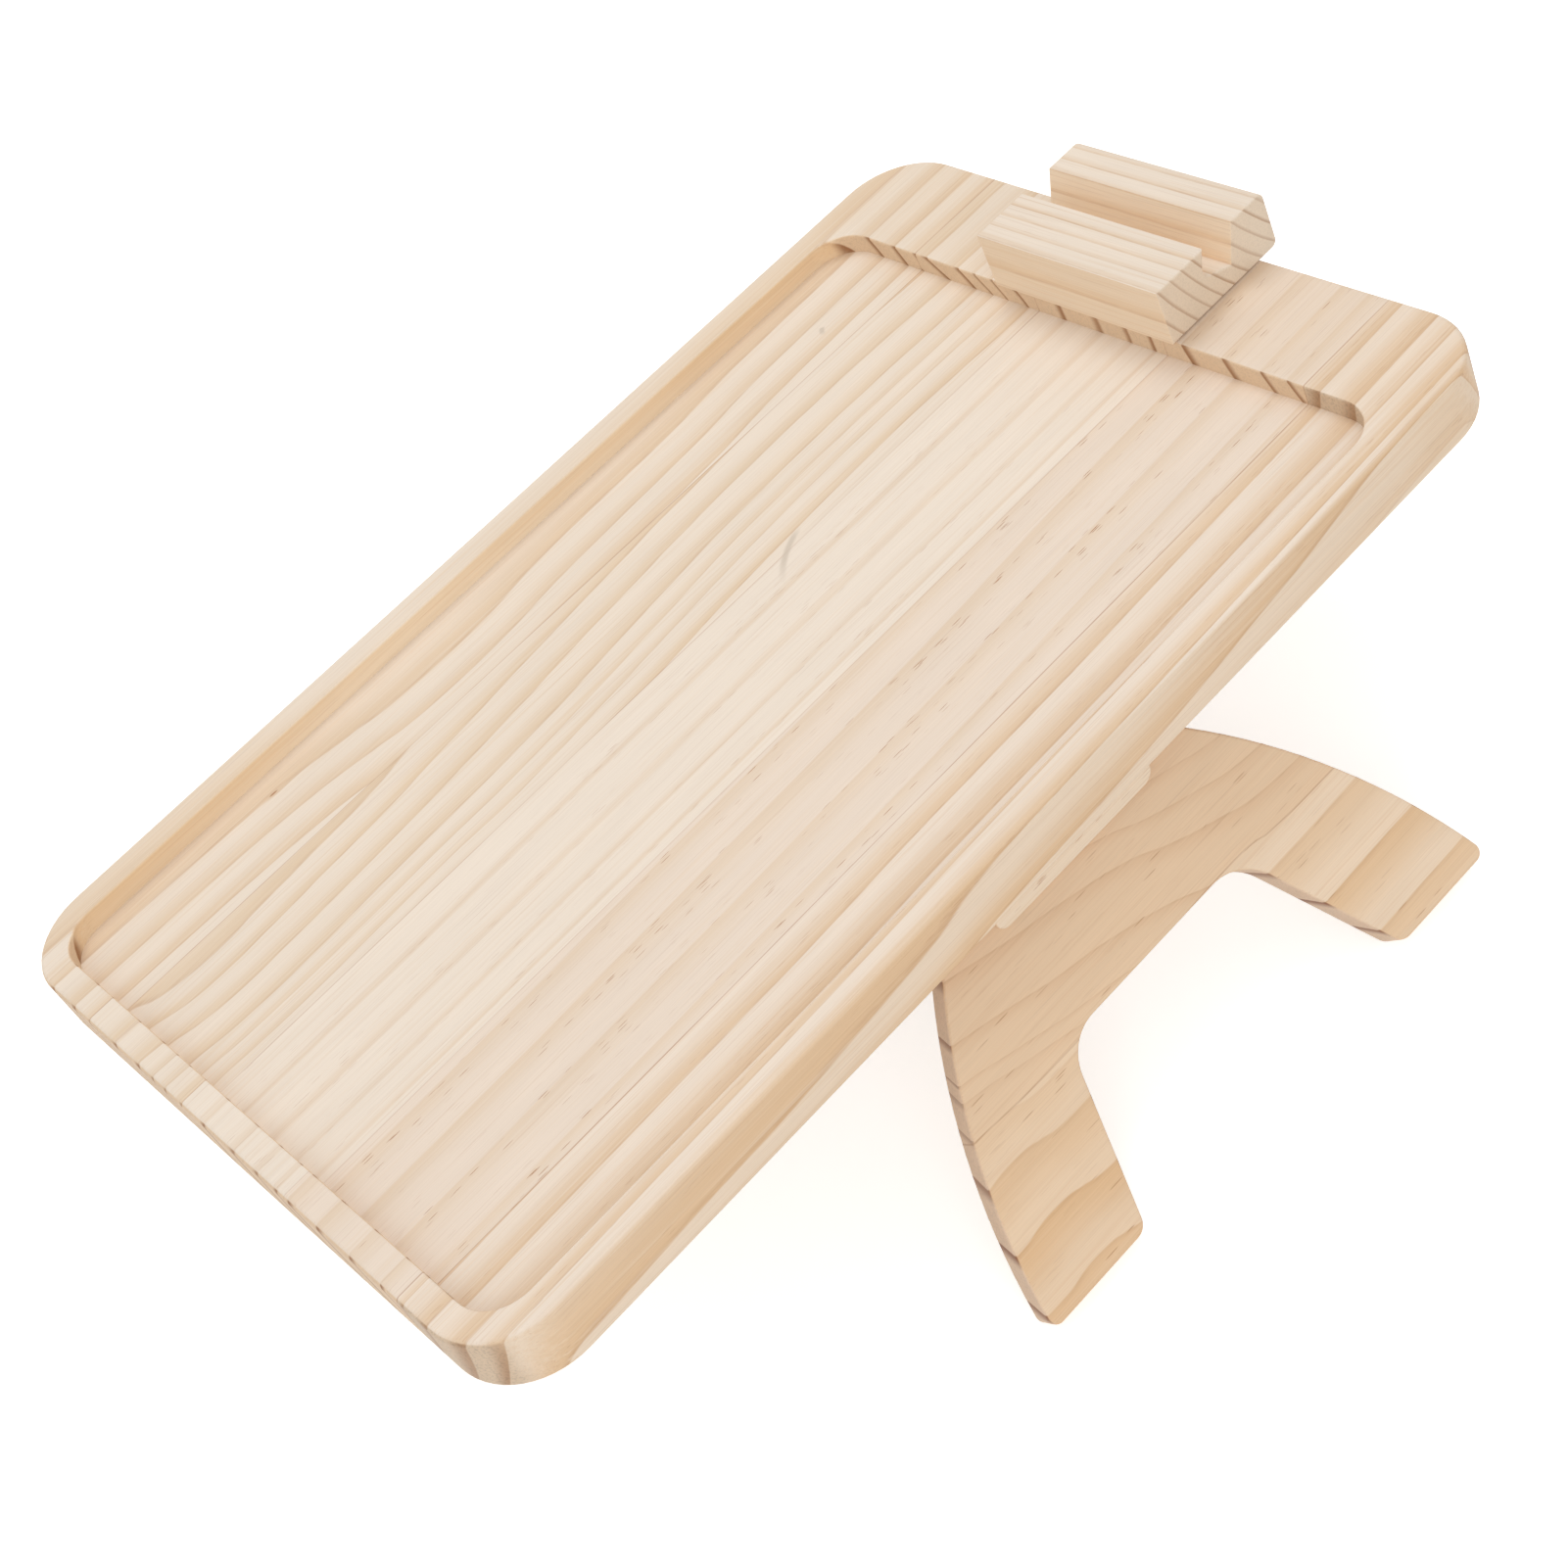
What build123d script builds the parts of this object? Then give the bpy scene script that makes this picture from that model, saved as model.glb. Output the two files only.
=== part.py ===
from build123d import *
import math
import os

os.makedirs("parts", exist_ok=True)

# Lengths are millimetres and angles are degrees.
# X runs along the tray towards the phone holder, Y across it, Z up.
# The origin is the middle of the tray's underside, the face that lies on a sofa arm.

# Tray board, edge-glued from five staves and then routed
tray_length = 400.0
tray_width = 256.0
tray_thickness = 20.4
tray_corner_radius = 25.0
tray_edge_radius = 1.6
recess_depth = 7.0
recess_corner_radius = 14.0
recess_lip_radius = 0.8
near_rim = 10.0
far_rim = 40.5
side_rim = 10.5
stave_width = 55.5
left_glue_line = 78.5

# Arch-shaped wings, which hang under both long edges and splay outwards
wing_splay = 38.0
wing_thickness = 9.5
wing_middle_x = 8.0
wing_inset = 12.0
wing_length = 95.8
wing_lead = 9.0
wing_arc_radius = 206.0
wing_top_half_width = 42.3
wing_tip_half_width = 92.8
wing_tip_outer_radius = 3.0
wing_tip_inner_radius = 5.0
wing_edge_radius = 1.0
wing_top_gap = 0.3
notch_top = 44.8
notch_top_half_width = 35.4
notch_tip_half_width = 55.2
notch_corner_radius = 15.0

# Stop battens, against which the wings rest when they are open
batten_length = 62.5
batten_height = 5.0
batten_width = 6.9
batten_inset = 1.0
batten_corner_radius = 4.0
batten_edge_radius = 0.6
batten_screw_spread = 22.0

# Butt hinges between the tray and the wings
hinge_length = 50.0
hinge_knuckles = 5
knuckle_radius = 2.5
knuckle_gap = 0.3
knuckle_seat = 0.1
leaf_thickness = 1.2
leaf_width = 15.0
leaf_corner_radius = 2.0
leaf_relief = 0.4
pin_radius = 1.25
pin_clearance = 0.05
pin_head_radius = 1.9
pin_head_height = 0.9
pin_head_gap = 0.2
pin_head_round = 0.4
hinge_screw_spread = 17.0
hinge_screw_outer_row = 11.2
hinge_screw_inner_row = 7.6

# Countersunk wood screws
screw_clearance = 0.05
screw_shank_radius = 1.5
screw_head_radius = 2.7
screw_head_height = 1.2
screw_point_length = 2.0
tray_screw_length = 11.0
wing_screw_length = 8.0
batten_screw_length = 16.0
cross_depth = 0.7
cross_arm_length = 3.0
cross_arm_width = 0.7

# Phone holder block, which turns on a bolt through the wide rim
block_length = 77.5
block_width = 49.0
block_height = 19.8
block_overhang = 7.3
block_gap = 0.3
block_rear_radius = 2.4
block_edge_radius = 0.8
slot_tilt = 20.0
slot_width = 12.3
slot_heel_x = 29.8
slot_heel_height = 7.1
slot_toe_radius = 3.0

# Pivot: machine bolt, washer and threaded insert
bolt_radius = 2.5
bolt_length = 20.0
bolt_head_radius = 4.75
bolt_head_height = 3.2
bolt_head_crown_radius = 1.4
bolt_cross_depth = 1.6
bolt_cross_length = 5.0
bolt_cross_width = 1.1
bolt_clearance = 0.2
bolt_point_chamfer = 0.5
washer_radius = 6.0
washer_thickness = 1.0
washer_bore_clearance = 0.15
counterbore_radius = 7.0
counterbore_depth = 6.5
insert_radius = 3.5
insert_length = 6.0
insert_flange_radius = 5.0
insert_flange_thickness = 0.9
insert_flange_proud = 0.25
insert_thread_clearance = 0.05
insert_hole_clearance = 0.05
insert_hole_extra_depth = 0.4


# Positions that follow from the sizes above
tray_top = tray_thickness
recess_floor = tray_thickness - recess_depth
splay = math.radians(wing_splay)
out_of_wing = Vector(0, -math.cos(splay), math.sin(splay))
axis_offset = knuckle_radius + knuckle_seat
wedge_half_angle = math.radians((90 + wing_splay) / 2)
wing_line_y = tray_width / 2 - wing_inset
hinge_y = -(wing_line_y - wing_thickness / math.cos(splay) - axis_offset / math.tan(wedge_half_angle))
hinge_axis = Vector(wing_middle_x, hinge_y, -axis_offset)
side_chord = Vector(wing_tip_half_width - wing_top_half_width, -wing_length, 0)
side_middle = Vector((wing_tip_half_width + wing_top_half_width) / 2, -wing_length / 2, 0)
side_sink = math.sqrt(wing_arc_radius**2 - (side_chord.length / 2) ** 2)
side_centre = side_middle + side_chord.rotate(Axis.Z, -90).normalized() * side_sink
wing_lead_half_width = side_centre.X + math.sqrt(wing_arc_radius**2 - (wing_lead - side_centre.Y) ** 2)
block_bottom = tray_top + block_gap
block_front_x = tray_length / 2 + block_overhang - block_width
block_middle_x = block_front_x + block_width / 2
bolt_seat = counterbore_depth - washer_thickness

# Planes on which the right-hand pieces are drawn
# The wing plane lies on the outer face, with its Y axis up the wing.
wing_plane = Plane(origin=(wing_middle_x, -wing_line_y, 0), x_dir=(1, 0, 0), z_dir=out_of_wing)
# Each leaf plane starts on the pin, with Y along the leaf and Z into the wood.
tray_leaf_plane = Plane(origin=hinge_axis, x_dir=(1, 0, 0), z_dir=(0, 0, 1))
wing_leaf_plane = Plane(origin=hinge_axis, x_dir=(-1, 0, 0), z_dir=out_of_wing)
batten_plane = Plane(
    origin=(wing_middle_x, -(tray_width / 2 - batten_inset), 0), x_dir=(1, 0, 0), z_dir=(0, -1, 0)
)


def export_piece(shape, name):
    """Writes one piece under its name."""
    shape.label = name
    export_step(shape, f"parts/{name}.step")


def export_pair(shape, name):
    """Writes a right-hand piece and its mirror image on the left."""
    export_piece(mirror(shape, about=Plane.XZ), f"left_{name}")
    export_piece(shape, f"right_{name}")


def screw(head_radius, shank_radius, length):
    """A countersunk wood screw that points down from the flat of its head at zero height."""
    with BuildPart() as body:
        with BuildSketch(Plane.XZ):
            with BuildLine():
                Polyline(
                    (0, 0),
                    (head_radius, 0),
                    (shank_radius, -screw_head_height),
                    (shank_radius, -(length - screw_point_length)),
                    (0, -length),
                    close=True,
                )
            make_face()
        revolve(axis=Axis.Z)
    return body.part


def cross_recess(length, width, depth):
    """The cross that a screwdriver fits, sunk from zero height."""
    with BuildPart() as cross:
        with BuildSketch(Plane.XY):
            Rectangle(length, width)
            Rectangle(width, length)
        extrude(amount=-depth)
    return cross.part


def wood_screw(length):
    """The screw itself, with its driver recess."""
    with BuildPart() as body:
        add(screw(screw_head_radius, screw_shank_radius, length))
        add(cross_recess(cross_arm_length, cross_arm_width, cross_depth), mode=Mode.SUBTRACT)
    return body.part


def screw_hole(length):
    """The hole that a wood screw fills, a little wider than the screw."""
    return screw(
        screw_head_radius + screw_clearance, screw_shank_radius + screw_clearance, length + screw_clearance
    )


def screw_spots(leaf_plane):
    """Three staggered places on a hinge leaf, each with Z out of the leaf's open face."""
    spots = []
    for x, reach in (
        (-hinge_screw_spread, hinge_screw_outer_row),
        (0, hinge_screw_inner_row),
        (hinge_screw_spread, hinge_screw_outer_row),
    ):
        head = leaf_plane.from_local_coords(Vector(x, reach, axis_offset - leaf_thickness))
        spots.append(Plane(origin=head, x_dir=leaf_plane.x_dir, z_dir=-leaf_plane.z_dir).location)
    return spots


def batten_screw_spots():
    """Two places on the batten's lower face."""
    middle_y = -(tray_width / 2 - batten_inset - batten_width / 2)
    return [
        Plane(
            origin=(wing_middle_x + side * batten_screw_spread, middle_y, -batten_height),
            x_dir=(1, 0, 0),
            z_dir=(0, 0, -1),
        ).location
        for side in (-1, 1)
    ]


def both_sides(spots):
    """The same places on the right and, mirrored, on the left."""
    mirrored = [
        Plane(
            origin=(spot.position.X, -spot.position.Y, spot.position.Z), x_dir=(1, 0, 0), z_dir=(0, 0, -1)
        ).location
        for spot in spots
    ]
    return spots + mirrored


def knuckle_spans(own):
    """Start and end, along the pin, of the knuckles with even (own = 0) or odd (own = 1) numbers."""
    pitch = hinge_length / hinge_knuckles
    return [
        (
            -hinge_length / 2 + number * pitch + knuckle_gap / 2,
            -hinge_length / 2 + (number + 1) * pitch - knuckle_gap / 2,
        )
        for number in range(own, hinge_knuckles, 2)
    ]


def hinge_leaf(plane, own):
    """A flat leaf with its rolled knuckles, drawn around the pin."""
    with BuildPart() as leaf:
        leaf_start = knuckle_radius + leaf_relief
        with BuildSketch(plane.offset(axis_offset - leaf_thickness)) as plate:
            with Locations((0, (leaf_start + leaf_width) / 2)):
                Rectangle(hinge_length, leaf_width - leaf_start)
            fillet(plate.vertices().sort_by(Axis.Y)[-2:], leaf_corner_radius)
            for start, end in knuckle_spans(own):
                with Locations(((start + end) / 2, leaf_start / 2)):
                    Rectangle(end - start, leaf_start)
        extrude(amount=leaf_thickness)
        for start, end in knuckle_spans(own):
            span_start = plane.from_local_coords(Vector(start, 0, 0))
            across = Plane(origin=span_start, x_dir=plane.y_dir, z_dir=plane.x_dir)
            with BuildSketch(across):
                Circle(knuckle_radius)
            extrude(amount=end - start)
            with BuildSketch(across):
                Circle(pin_radius + pin_clearance)
            extrude(amount=end - start, mode=Mode.SUBTRACT)
        with Locations(screw_spots(plane)):
            add(screw_hole(tray_screw_length), mode=Mode.SUBTRACT)
    return leaf.part


# Whole tray board before it is told apart into staves
with BuildPart() as tray_board:
    with BuildSketch(Plane.XY):
        RectangleRounded(tray_length, tray_width, tray_corner_radius)
    extrude(amount=tray_thickness)
    rim_edges = tray_board.faces().sort_by(Axis.Z)[-1].edges() + tray_board.faces().sort_by(Axis.Z)[0].edges()
    fillet(rim_edges, tray_edge_radius)
    with BuildSketch(Plane.XY.offset(recess_floor)):
        with Locations(((near_rim - far_rim) / 2, 0)):
            RectangleRounded(
                tray_length - near_rim - far_rim, tray_width - 2 * side_rim, recess_corner_radius
            )
    extrude(amount=recess_depth, mode=Mode.SUBTRACT)
    lip_edges = tray_board.faces().filter_by(Axis.Z).sort_by(Axis.Z)[-1].inner_wires()[0].edges()
    fillet(lip_edges, recess_lip_radius)
    # Bolt hole with its counterbore, then the holes of all the wood screws
    with BuildSketch(Plane.XY):
        with Locations((block_middle_x, 0)):
            Circle(bolt_radius + bolt_clearance)
    extrude(amount=tray_thickness, mode=Mode.SUBTRACT)
    with BuildSketch(Plane.XY):
        with Locations((block_middle_x, 0)):
            Circle(counterbore_radius)
    extrude(amount=counterbore_depth, mode=Mode.SUBTRACT)
    with Locations(both_sides(screw_spots(tray_leaf_plane))):
        add(screw_hole(tray_screw_length), mode=Mode.SUBTRACT)
    with Locations(both_sides(batten_screw_spots())):
        add(screw_hole(batten_screw_length), mode=Mode.SUBTRACT)

# The five staves, from the left edge of the tray to the right one
stave_names = ("left_rim_stave", "left_stave", "centre_stave", "right_stave", "right_rim_stave")
stave_edges = [tray_width / 2]
stave_edges += [left_glue_line - number * stave_width for number in range(len(stave_names) - 1)]
stave_edges += [-tray_width / 2]
for stave_number, stave_name in enumerate(stave_names):
    left_edge = stave_edges[stave_number]
    right_edge = stave_edges[stave_number + 1]
    with BuildPart() as stave:
        add(tray_board.part)
        with BuildSketch(Plane.XY):
            with Locations((0, (left_edge + right_edge) / 2)):
                Rectangle(tray_length, left_edge - right_edge)
        extrude(amount=tray_thickness, mode=Mode.INTERSECT)
    export_piece(stave.part, stave_name)

# Right wing: an arch cut from one board, its upper edge bevelled to lie along the tray
with BuildPart() as right_wing:
    with BuildSketch(wing_plane) as arch:
        with BuildLine():
            right_foot = (wing_tip_half_width, -wing_length)
            left_foot = (-wing_tip_half_width, -wing_length)
            Line((-wing_lead_half_width, wing_lead), (wing_lead_half_width, wing_lead))
            RadiusArc((wing_lead_half_width, wing_lead), right_foot, wing_arc_radius)
            Polyline(
                right_foot,
                (notch_tip_half_width, -wing_length),
                (notch_top_half_width, -notch_top),
                (-notch_top_half_width, -notch_top),
                (-notch_tip_half_width, -wing_length),
                left_foot,
            )
            RadiusArc(left_foot, (-wing_lead_half_width, wing_lead), wing_arc_radius)
        make_face()
        fillet(arch.vertices().group_by(Axis.Y)[1], notch_corner_radius)
        tips = arch.vertices().group_by(Axis.Y)[0].sort_by(Axis.X)
        fillet(tips[1:3], wing_tip_inner_radius)
        tips = arch.vertices().group_by(Axis.Y)[0].sort_by(Axis.X)
        fillet([tips[0], tips[-1]], wing_tip_outer_radius)
    extrude(amount=-wing_thickness)
    split(bisect_by=Plane.XY.offset(-wing_top_gap), keep=Keep.BOTTOM)
    bevel_edges = right_wing.faces().sort_by(Axis.Z)[-1].edges()
    fillet(right_wing.faces().filter_by(wing_plane).edges() - bevel_edges, wing_edge_radius)
    with Locations(screw_spots(wing_leaf_plane)):
        add(screw_hole(wing_screw_length), mode=Mode.SUBTRACT)
export_pair(right_wing.part, "wing")

# Stop batten: a small strip with rounded lower corners
with BuildPart() as right_batten:
    with BuildSketch(batten_plane) as batten_face:
        Rectangle(batten_length, batten_height, align=(Align.CENTER, Align.MAX))
        fillet(batten_face.vertices().group_by(Axis.Y)[0], batten_corner_radius)
    extrude(amount=-batten_width)
    under_edges = right_batten.faces().sort_by(Axis.Z)[0].edges().filter_by(Axis.X)
    fillet(under_edges, batten_edge_radius)
    with Locations(batten_screw_spots()):
        add(screw_hole(batten_screw_length), mode=Mode.SUBTRACT)
export_pair(right_batten.part, "stop_batten")

with BuildPart() as right_batten_screws:
    with Locations(batten_screw_spots()):
        add(wood_screw(batten_screw_length))
export_pair(right_batten_screws.part, "batten_screws")

# Hinge: a leaf on the tray, a leaf on the wing, and the pin through their knuckles
export_pair(hinge_leaf(tray_leaf_plane, 0), "hinge_tray_leaf")
export_pair(hinge_leaf(wing_leaf_plane, 1), "hinge_wing_leaf")

with BuildPart() as right_hinge_pin:
    with BuildSketch(Plane.YZ) as pin_half:
        with BuildLine():
            head_start = hinge_length / 2 + pin_head_gap
            Polyline(
                (0, -head_start - pin_head_height),
                (0, head_start + pin_head_height),
                (pin_head_radius - pin_head_round, head_start + pin_head_height),
                (pin_head_radius, head_start + pin_head_height - pin_head_round),
                (pin_head_radius, head_start),
                (pin_radius, head_start),
                (pin_radius, -head_start),
                (pin_head_radius, -head_start),
                (pin_head_radius, -head_start - pin_head_height + pin_head_round),
                (pin_head_radius - pin_head_round, -head_start - pin_head_height),
                close=True,
            )
        make_face()
    revolve(axis=Axis.Z)
pin_place = Plane(origin=hinge_axis, x_dir=(0, 1, 0), z_dir=(1, 0, 0))
export_pair(right_hinge_pin.part.moved(pin_place.location), "hinge_pin")

with BuildPart() as right_tray_leaf_screws:
    with Locations(screw_spots(tray_leaf_plane)):
        add(wood_screw(tray_screw_length))
export_pair(right_tray_leaf_screws.part, "hinge_tray_screws")

with BuildPart() as right_wing_leaf_screws:
    with Locations(screw_spots(wing_leaf_plane)):
        add(wood_screw(wing_screw_length))
export_pair(right_wing_leaf_screws.part, "hinge_wing_screws")

# Phone holder block: one bar of wood with a leaning slot, and a hole below for the insert
block_plane = Plane(origin=(block_front_x, 0, block_bottom), x_dir=(1, 0, 0), z_dir=(0, -1, 0))
with BuildPart() as phone_holder_block:
    with BuildSketch(block_plane) as section:
        Rectangle(block_width, block_height, align=(Align.MIN, Align.MIN))
        fillet(section.vertices().group_by(Axis.X)[-1], block_rear_radius)
        with Locations(Location((slot_heel_x, slot_heel_height), -slot_tilt)):
            Rectangle(slot_width, block_height, align=(Align.MAX, Align.MIN), mode=Mode.SUBTRACT)
        toe = (
            slot_heel_x - slot_width * math.cos(math.radians(slot_tilt)),
            slot_heel_height + slot_width * math.sin(math.radians(slot_tilt)),
        )
        fillet(section.vertices().sort_by_distance(toe)[0], slot_toe_radius)
    extrude(amount=block_length / 2, both=True)
    ends = phone_holder_block.faces().filter_by(Axis.Y)
    fillet(ends.edges(), block_edge_radius)
    with BuildSketch(Plane.XY.offset(block_bottom)):
        with Locations((block_middle_x, 0)):
            Circle(insert_radius + insert_hole_clearance)
    extrude(amount=insert_length - insert_flange_proud + insert_hole_extra_depth, mode=Mode.SUBTRACT)
    with BuildSketch(Plane.XY.offset(block_bottom)):
        with Locations((block_middle_x, 0)):
            Circle(insert_flange_radius + insert_hole_clearance)
    extrude(
        amount=insert_flange_thickness - insert_flange_proud + insert_hole_clearance, mode=Mode.SUBTRACT
    )
export_piece(phone_holder_block.part, "phone_holder_block")

# Threaded insert, pressed into the block from below; its flange stands just proud as a bearing
with BuildPart() as pivot_insert:
    with BuildSketch(Plane.XY.offset(block_bottom - insert_flange_proud)):
        with Locations((block_middle_x, 0)):
            Circle(insert_radius)
    extrude(amount=insert_length)
    with BuildSketch(Plane.XY.offset(block_bottom - insert_flange_proud)):
        with Locations((block_middle_x, 0)):
            Circle(insert_flange_radius)
    extrude(amount=insert_flange_thickness)
    with BuildSketch(Plane.XY.offset(block_bottom - insert_flange_proud)):
        with Locations((block_middle_x, 0)):
            Circle(bolt_radius + insert_thread_clearance)
    extrude(amount=insert_length, mode=Mode.SUBTRACT)
export_piece(pivot_insert.part, "pivot_insert")

# Bolt, entered from below, with its head in the counterbore
with BuildPart() as pivot_bolt:
    with BuildSketch(Plane.XY.offset(bolt_seat - bolt_head_height)):
        with Locations((block_middle_x, 0)):
            Circle(bolt_head_radius)
    extrude(amount=bolt_head_height)
    fillet(pivot_bolt.faces().sort_by(Axis.Z)[0].edges(), bolt_head_crown_radius)
    with BuildSketch(Plane.XY.offset(bolt_seat)):
        with Locations((block_middle_x, 0)):
            Circle(bolt_radius)
    extrude(amount=bolt_length)
    chamfer(pivot_bolt.faces().sort_by(Axis.Z)[-1].edges(), bolt_point_chamfer)
    head_bottom = Plane(origin=(block_middle_x, 0, bolt_seat - bolt_head_height), z_dir=(0, 0, -1))
    with Locations(head_bottom.location):
        add(cross_recess(bolt_cross_length, bolt_cross_width, bolt_cross_depth), mode=Mode.SUBTRACT)
export_piece(pivot_bolt.part, "pivot_bolt")

with BuildPart() as pivot_washer:
    with BuildSketch(Plane.XY.offset(bolt_seat)):
        with Locations((block_middle_x, 0)):
            Circle(washer_radius)
            Circle(bolt_radius + washer_bore_clearance, mode=Mode.SUBTRACT)
    extrude(amount=washer_thickness)
export_piece(pivot_washer.part, "pivot_washer")
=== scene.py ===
import bpy
import math
from dataclasses import dataclass
from mathutils import Matrix, Vector


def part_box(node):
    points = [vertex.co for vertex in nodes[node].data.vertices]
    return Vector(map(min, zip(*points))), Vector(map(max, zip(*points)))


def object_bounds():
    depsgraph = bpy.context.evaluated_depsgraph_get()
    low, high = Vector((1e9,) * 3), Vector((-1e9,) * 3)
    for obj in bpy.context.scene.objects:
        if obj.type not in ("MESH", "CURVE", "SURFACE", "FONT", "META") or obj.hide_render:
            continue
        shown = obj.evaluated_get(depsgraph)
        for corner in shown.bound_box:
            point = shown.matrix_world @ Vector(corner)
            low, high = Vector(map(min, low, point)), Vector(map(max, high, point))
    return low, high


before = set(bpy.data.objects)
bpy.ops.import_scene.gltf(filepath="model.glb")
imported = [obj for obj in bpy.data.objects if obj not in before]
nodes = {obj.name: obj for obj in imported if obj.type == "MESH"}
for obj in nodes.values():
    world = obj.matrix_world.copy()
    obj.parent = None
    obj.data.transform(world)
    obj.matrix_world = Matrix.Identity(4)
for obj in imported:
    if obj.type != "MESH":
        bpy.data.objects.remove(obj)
cad_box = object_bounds()

# Lengths in this script are metres, and the wood's own are millimetres.
MM = 0.001


# Places in the CAD, in millimetres
def corners(name):
    """Lowest and highest corner of a CAD node."""
    low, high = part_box(name)
    return low / MM, high / MM


RECESS_DEPTH = 7.0
RECESS_FLOOR = corners("centre_stave")[1].z - RECESS_DEPTH
BLOCK_MIDDLE_X = sum(corner.x for corner in corners("phone_holder_block")) / 2
BLOCK_TOP = corners("phone_holder_block")[1].z

# The outer face of a wing: its splay, and how far inside the tray's edge it meets the tray's underside
WING_SPLAY = math.radians(38)
WING_INSET = 12.0
WING_LINE_Y = corners("left_rim_stave")[1].y - WING_INSET
WING_MIDDLE_X = sum(corner.x for corner in corners("right_wing")) / 2

# Glue lines of the tray: how far across each lies, at a stave's far edge, and how dark it is
NEAR_GLUE = (corners("right_rim_stave")[1].y, 0.6)
RIGHT_GLUE = (corners("right_stave")[1].y, 0.3)
LEFT_GLUE = (corners("centre_stave")[1].y, 0.45)
FAR_GLUE = (corners("left_stave")[1].y, 0.5)

# Sizes of the wood's marks along the grain, across it and up through the board, in millimetres
WOBBLE_SIZE = (90, 16, 30)
RIPPLE_SIZE = (14, 5, 8)
ROUGH_SIZE = (12, 1.5, 1.5)
FIBRE_SIZE = (24, 0.35, 0.35)
STREAK_SIZE = (110, 1.1, 1.1)
BLOTCH_SIZE = (70, 9, 9)
HAIR_SIZE = (60, 0.45, 0.45)
ZONE_SIZE = (60, 6, 6)
PORE_SIZE = (1.6, 0.7, 0.7)

# Growth rings, numbered from the pith outwards: the first one that a figure lists, how many are added
# beyond those listed, a number past them all, and how dark the rings are that no figure lists
FIRST_RING = 12
RINGS_BEYOND = 6
LAST_RING = 40
PLAIN_DARK = 0.6

# How many times longer than wide a knot's reach is, and how far a grey stroke bows, as a share of its run
KNOT_STRETCH = 4
STROKE_BOW_SHARE = 0.0875

# How far the wood's grain and the scratches in metal stand out, and the size of the metal's clouds
GRAIN_RELIEF = 0.06 * MM
SCRATCH_RELIEF = 0.02 * MM
CLOUD_SIZE = (0.006, 0.006, 0.006)

# The least height of a curve, so that a level one can be scaled too
LEAST_HEIGHT = 1e-6


# Colours, as linear albedo
def srgb(red, green, blue):
    """Linear colour of three 0 to 255 values."""

    def linear(value):
        share = value / 255
        return share / 12.92 if share <= 0.04045 else ((share + 0.055) / 1.055) ** 2.4

    return (linear(red), linear(green), linear(blue), 1.0)


WHITE = (1.0, 1.0, 1.0, 1.0)
BROWN = srgb(168, 114, 74)
# Colour of short greyish bowed strokes on top of the tray
GREY_STROKE_COLOUR = srgb(206, 191, 174)
# Painted light and shade on sides across a board's face: a painted warm shade on most boards, and a painted
# brighter light on the recess walls and on the block's sides
FLANK_PAINTED_SHADE = (1.0, 0.955, 0.885, 1.0)
ROUTED_PAINTED_LIGHT = (1.09, 1.04, 0.93, 1.0)
BLOCK_PAINTED_LIGHT = (1.09, 1.03, 0.93, 1.0)
WARM_TINT = (0.95, 0.895, 0.82, 1.0)


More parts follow.
